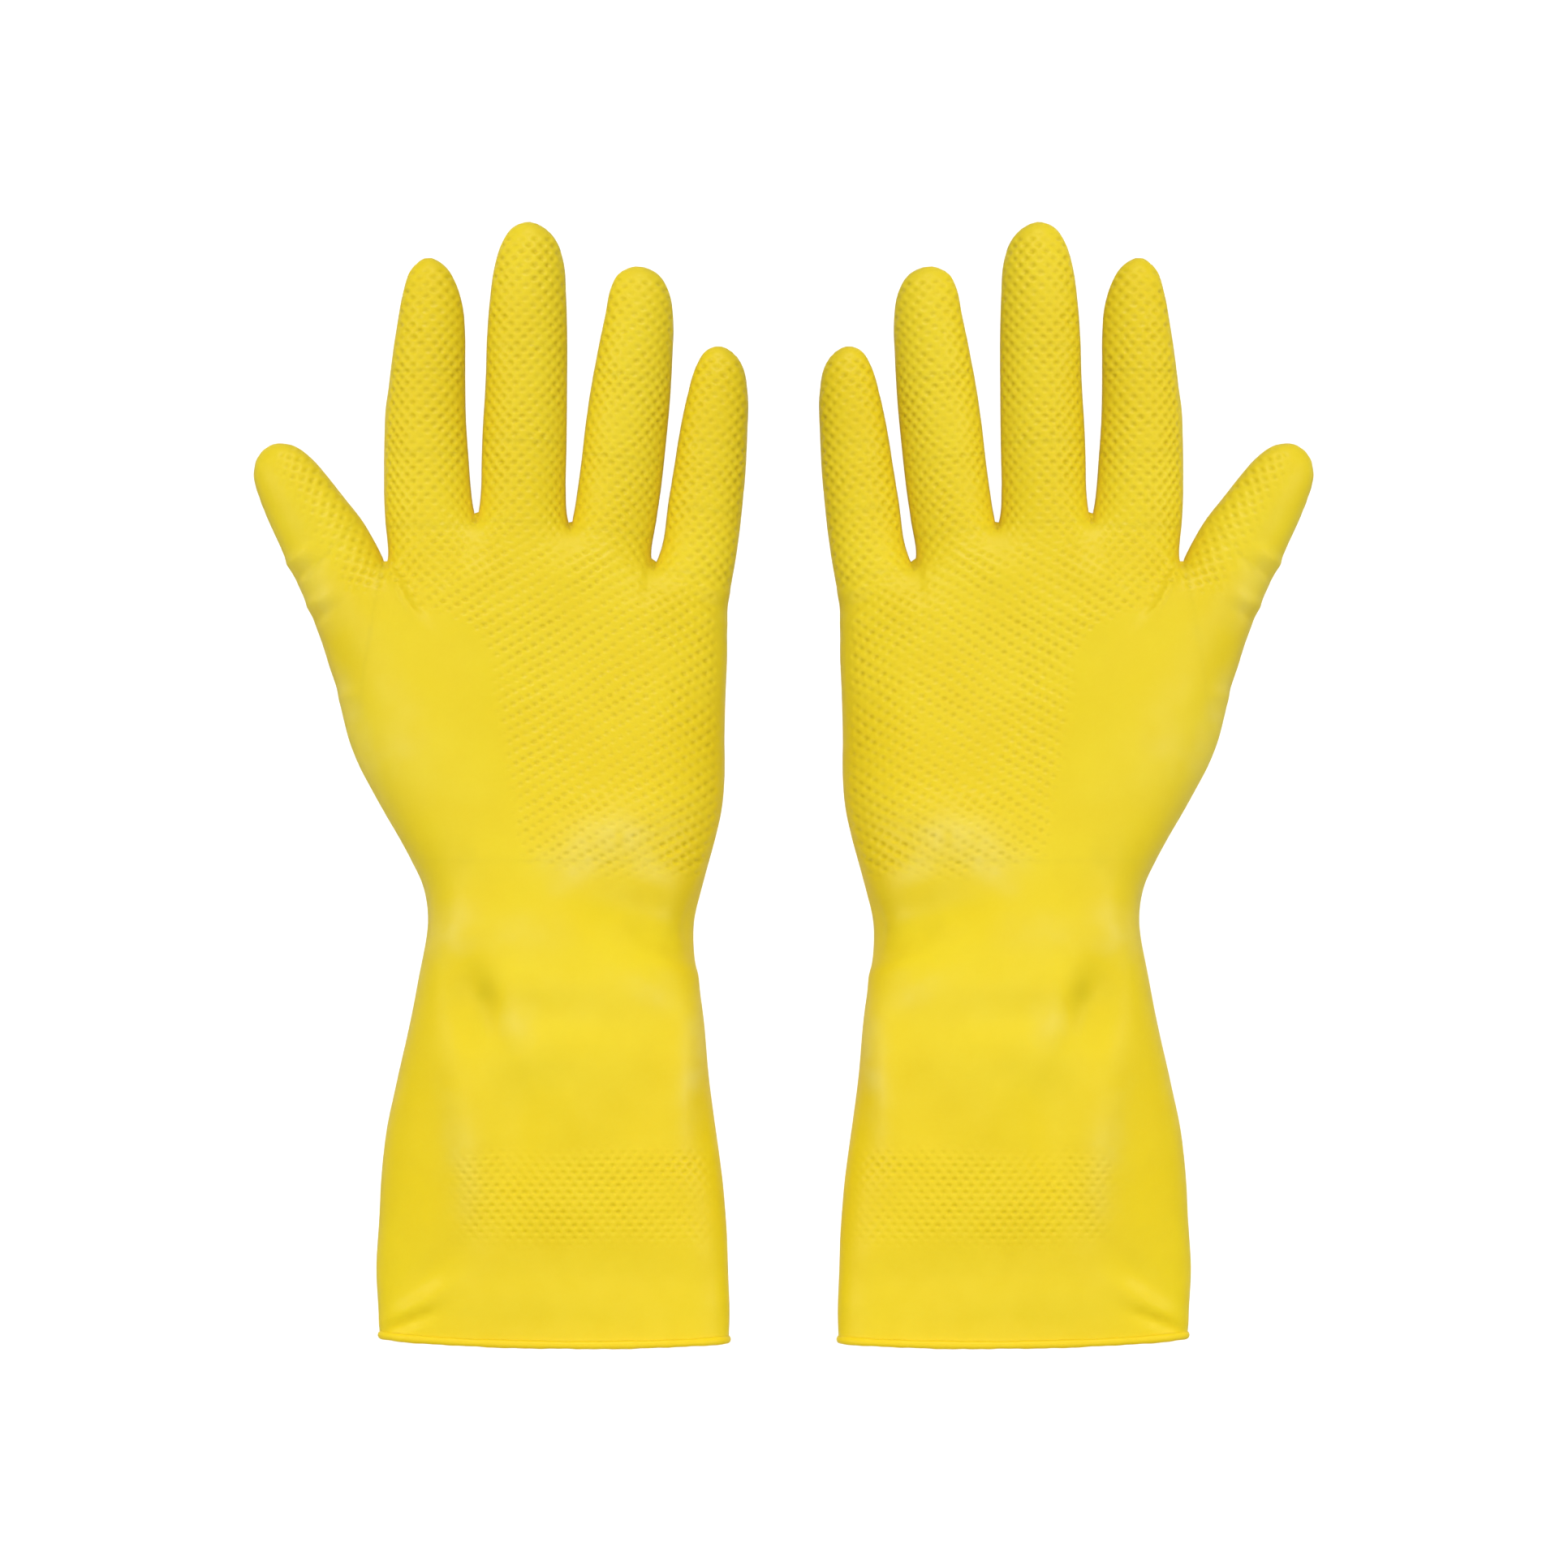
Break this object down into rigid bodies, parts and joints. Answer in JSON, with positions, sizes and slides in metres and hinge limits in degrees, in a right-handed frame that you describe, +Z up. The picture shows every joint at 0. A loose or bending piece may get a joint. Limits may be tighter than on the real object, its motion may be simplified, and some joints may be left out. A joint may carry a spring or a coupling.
{
  "type": "household rubber gloves",
  "caption": "Matching left and right household rubber gloves: long cuffed yellow latex with grip-textured palms and fingers, soft lining and rolled rims, lying flat, palms up.",
  "frame": {"origin": "on the supporting surface, at the centre of the pair's footprint", "axes": "+Y from the cuffs towards the fingertips, +X from the left glove to the right glove, +Z up, out of the palms"},
  "size_m": [0.2878, 0.305, 0.0335],
  "materials": {
    "latex": "satin, slightly translucent, moulded diamond grip pattern",
    "flock_lining": "matt short-fibre cotton flock"
  },
  "bodies": {
    "left_palm": {"left_palm": "latex", "left_palm_lining": "flock_lining"},
    "left_gauntlet": {"left_gauntlet": "latex", "left_cuff_bead": "latex", "left_gauntlet_lining": "flock_lining"},
    "left_thumb_base": {"left_thumb_base": "latex"},
    "left_thumb_tip": {"left_thumb_tip": "latex"},
    "left_index_proximal": {"left_index_proximal": "latex"},
    "left_index_middle": {"left_index_middle": "latex"},
    "left_index_tip": {"left_index_tip": "latex"},
    "left_middle_proximal": {"left_middle_proximal": "latex"},
    "left_middle_middle": {"left_middle_middle": "latex"},
    "left_middle_tip": {"left_middle_tip": "latex"},
    "left_ring_proximal": {"left_ring_proximal": "latex"},
    "left_ring_middle": {"left_ring_middle": "latex"},
    "left_ring_tip": {"left_ring_tip": "latex"},
    "left_little_proximal": {"left_little_proximal": "latex"},
    "left_little_middle": {"left_little_middle": "latex"},
    "left_little_tip": {"left_little_tip": "latex"},
    "right_palm": {"right_palm": "latex", "right_palm_lining": "flock_lining"},
    "right_gauntlet": {"right_gauntlet": "latex", "right_cuff_bead": "latex", "right_gauntlet_lining": "flock_lining"},
    "right_thumb_base": {"right_thumb_base": "latex"},
    "right_thumb_tip": {"right_thumb_tip": "latex"},
    "right_index_proximal": {"right_index_proximal": "latex"},
    "right_index_middle": {"right_index_middle": "latex"},
    "right_index_tip": {"right_index_tip": "latex"},
    "right_middle_proximal": {"right_middle_proximal": "latex"},
    "right_middle_middle": {"right_middle_middle": "latex"},
    "right_middle_tip": {"right_middle_tip": "latex"},
    "right_ring_proximal": {"right_ring_proximal": "latex"},
    "right_ring_middle": {"right_ring_middle": "latex"},
    "right_ring_tip": {"right_ring_tip": "latex"},
    "right_little_proximal": {"right_little_proximal": "latex"},
    "right_little_middle": {"right_little_middle": "latex"},
    "right_little_tip": {"right_little_tip": "latex"}
  },
  "joints": [
    {"name": "left_wrist_bend", "type": "hinge", "parent": "left_palm", "child": "left_gauntlet", "pos_m": [-0.06, -0.0396, 0.016], "axis": [-1, 0, 0], "range_deg": [-35, 45], "stiffness_Nm_per_rad": 0.02},
    {"name": "left_thumb_base_flex", "type": "hinge", "parent": "left_palm", "child": "left_thumb_base", "pos_m": [-0.0988, -0.0264, 0.013], "axis": [-0.1102, 0.9939, 0], "range_deg": [0, 42], "stiffness_Nm_per_rad": 0.01},
    {"name": "left_thumb_tip_flex", "type": "hinge", "parent": "left_thumb_base", "child": "left_thumb_tip", "pos_m": [-0.1259, 0.06721, 0.0098], "axis": [0.8704, 0.4924, 0], "range_deg": [0, 60], "stiffness_Nm_per_rad": 0.01},
    {"name": "left_index_knuckle_flex", "type": "hinge", "parent": "left_palm", "child": "left_index_proximal", "pos_m": [-0.09633, 0.078, 0.0098], "axis": [1, 0.0041, 0], "range_deg": [0, 72], "stiffness_Nm_per_rad": 0.01},
    {"name": "left_index_middle_flex", "type": "hinge", "parent": "left_index_proximal", "child": "left_index_middle", "pos_m": [-0.09643, 0.102, 0.0098], "axis": [1, 0.0041, 0], "range_deg": [0, 82], "stiffness_Nm_per_rad": 0.01},
    {"name": "left_index_tip_flex", "type": "hinge", "parent": "left_index_middle", "child": "left_index_tip", "pos_m": [-0.09652, 0.1222, 0.0098], "axis": [1, 0.0041, 0], "range_deg": [0, 50], "stiffness_Nm_per_rad": 0.01},
    {"name": "left_middle_knuckle_flex", "type": "hinge", "parent": "left_palm", "child": "left_middle_proximal", "pos_m": [-0.0711, 0.07899, 0.0098], "axis": [0.9997, -0.0244, 0], "range_deg": [0, 72], "stiffness_Nm_per_rad": 0.01},
    {"name": "left_middle_middle_flex", "type": "hinge", "parent": "left_middle_proximal", "child": "left_middle_middle", "pos_m": [-0.07041, 0.10698, 0.0098], "axis": [0.9997, -0.0244, 0], "range_deg": [0, 82], "stiffness_Nm_per_rad": 0.01},
    {"name": "left_middle_tip_flex", "type": "hinge", "parent": "left_middle_middle", "child": "left_middle_tip", "pos_m": [-0.06985, 0.12998, 0.0098], "axis": [0.9997, -0.0244, 0], "range_deg": [0, 50], "stiffness_Nm_per_rad": 0.01},
    {"name": "left_ring_knuckle_flex", "type": "hinge", "parent": "left_palm", "child": "left_ring_proximal", "pos_m": [-0.04559, 0.07622, 0.0098], "axis": [0.9947, -0.1024, 0], "range_deg": [0, 72], "stiffness_Nm_per_rad": 0.01},
    {"name": "left_ring_middle_flex", "type": "hinge", "parent": "left_ring_proximal", "child": "left_ring_middle", "pos_m": [-0.04306, 0.10079, 0.0098], "axis": [0.9947, -0.1024, 0], "range_deg": [0, 82], "stiffness_Nm_per_rad": 0.01},
    {"name": "left_ring_tip_flex", "type": "hinge", "parent": "left_ring_middle", "child": "left_ring_tip", "pos_m": [-0.04099, 0.12088, 0.0098], "axis": [0.9947, -0.1024, 0], "range_deg": [0, 50], "stiffness_Nm_per_rad": 0.01},
    {"name": "left_little_knuckle_flex", "type": "hinge", "parent": "left_palm", "child": "left_little_proximal", "pos_m": [-0.02324, 0.0649, 0.0098], "axis": [0.9942, -0.1077, 0], "range_deg": [0, 72], "stiffness_Nm_per_rad": 0.01},
    {"name": "left_little_middle_flex", "type": "hinge", "parent": "left_little_proximal", "child": "left_little_middle", "pos_m": [-0.02115, 0.08419, 0.0098], "axis": [0.9942, -0.1077, 0], "range_deg": [0, 82], "stiffness_Nm_per_rad": 0.01},
    {"name": "left_little_tip_flex", "type": "hinge", "parent": "left_little_middle", "child": "left_little_tip", "pos_m": [-0.01934, 0.10089, 0.0098], "axis": [0.9942, -0.1077, 0], "range_deg": [0, 50], "stiffness_Nm_per_rad": 0.01},
    {"name": "right_glove_slide", "type": "slide", "parent": "left_palm", "child": "right_palm", "axis": [1, 0, 0], "range_m": [0, 0.06]},
    {"name": "right_wrist_bend", "type": "hinge", "parent": "right_palm", "child": "right_gauntlet", "pos_m": [0.06, -0.0396, 0.016], "axis": [-1, 0, 0], "range_deg": [-35, 45], "stiffness_Nm_per_rad": 0.02},
    {"name": "right_thumb_base_flex", "type": "hinge", "parent": "right_palm", "child": "right_thumb_base", "pos_m": [0.0988, -0.0264, 0.013], "axis": [-0.1102, -0.9939, 0], "range_deg": [0, 42], "stiffness_Nm_per_rad": 0.01},
    {"name": "right_thumb_tip_flex", "type": "hinge", "parent": "right_thumb_base", "child": "right_thumb_tip", "pos_m": [0.1259, 0.06721, 0.0098], "axis": [0.8704, -0.4924, 0], "range_deg": [0, 60], "stiffness_Nm_per_rad": 0.01},
    {"name": "right_index_knuckle_flex", "type": "hinge", "parent": "right_palm", "child": "right_index_proximal", "pos_m": [0.09633, 0.078, 0.0098], "axis": [1, -0.0041, 0], "range_deg": [0, 72], "stiffness_Nm_per_rad": 0.01},
    {"name": "right_index_middle_flex", "type": "hinge", "parent": "right_index_proximal", "child": "right_index_middle", "pos_m": [0.09643, 0.102, 0.0098], "axis": [1, -0.0041, 0], "range_deg": [0, 82], "stiffness_Nm_per_rad": 0.01},
    {"name": "right_index_tip_flex", "type": "hinge", "parent": "right_index_middle", "child": "right_index_tip", "pos_m": [0.09652, 0.1222, 0.0098], "axis": [1, -0.0041, 0], "range_deg": [0, 50], "stiffness_Nm_per_rad": 0.01},
    {"name": "right_middle_knuckle_flex", "type": "hinge", "parent": "right_palm", "child": "right_middle_proximal", "pos_m": [0.0711, 0.07899, 0.0098], "axis": [0.9997, 0.0244, 0], "range_deg": [0, 72], "stiffness_Nm_per_rad": 0.01},
    {"name": "right_middle_middle_flex", "type": "hinge", "parent": "right_middle_proximal", "child": "right_middle_middle", "pos_m": [0.07041, 0.10698, 0.0098], "axis": [0.9997, 0.0244, 0], "range_deg": [0, 82], "stiffness_Nm_per_rad": 0.01},
    {"name": "right_middle_tip_flex", "type": "hinge", "parent": "right_middle_middle", "child": "right_middle_tip", "pos_m": [0.06985, 0.12998, 0.0098], "axis": [0.9997, 0.0244, 0], "range_deg": [0, 50], "stiffness_Nm_per_rad": 0.01},
    {"name": "right_ring_knuckle_flex", "type": "hinge", "parent": "right_palm", "child": "right_ring_proximal", "pos_m": [0.04559, 0.07622, 0.0098], "axis": [0.9947, 0.1024, 0], "range_deg": [0, 72], "stiffness_Nm_per_rad": 0.01},
    {"name": "right_ring_middle_flex", "type": "hinge", "parent": "right_ring_proximal", "child": "right_ring_middle", "pos_m": [0.04306, 0.10079, 0.0098], "axis": [0.9947, 0.1024, 0], "range_deg": [0, 82], "stiffness_Nm_per_rad": 0.01},
    {"name": "right_ring_tip_flex", "type": "hinge", "parent": "right_ring_middle", "child": "right_ring_tip", "pos_m": [0.04099, 0.12088, 0.0098], "axis": [0.9947, 0.1024, 0], "range_deg": [0, 50], "stiffness_Nm_per_rad": 0.01},
    {"name": "right_little_knuckle_flex", "type": "hinge", "parent": "right_palm", "child": "right_little_proximal", "pos_m": [0.02324, 0.0649, 0.0098], "axis": [0.9942, 0.1077, 0], "range_deg": [0, 72], "stiffness_Nm_per_rad": 0.01},
    {"name": "right_little_middle_flex", "type": "hinge", "parent": "right_little_proximal", "child": "right_little_middle", "pos_m": [0.02115, 0.08419, 0.0098], "axis": [0.9942, 0.1077, 0], "range_deg": [0, 82], "stiffness_Nm_per_rad": 0.01},
    {"name": "right_little_tip_flex", "type": "hinge", "parent": "right_little_middle", "child": "right_little_tip", "pos_m": [0.01934, 0.10089, 0.0098], "axis": [0.9942, 0.1077, 0], "range_deg": [0, 50], "stiffness_Nm_per_rad": 0.01}
  ],
  "couplings": [
    {"joint": "left_index_tip_flex", "follows": "left_index_middle_flex", "ratio": 0.6097},
    {"joint": "left_middle_tip_flex", "follows": "left_middle_middle_flex", "ratio": 0.6097},
    {"joint": "left_ring_tip_flex", "follows": "left_ring_middle_flex", "ratio": 0.6097},
    {"joint": "left_little_tip_flex", "follows": "left_little_middle_flex", "ratio": 0.6097},
    {"joint": "right_index_tip_flex", "follows": "right_index_middle_flex", "ratio": 0.6097},
    {"joint": "right_middle_tip_flex", "follows": "right_middle_middle_flex", "ratio": 0.6097},
    {"joint": "right_ring_tip_flex", "follows": "right_ring_middle_flex", "ratio": 0.6097},
    {"joint": "right_little_tip_flex", "follows": "right_little_middle_flex", "ratio": 0.6097}
  ]
}
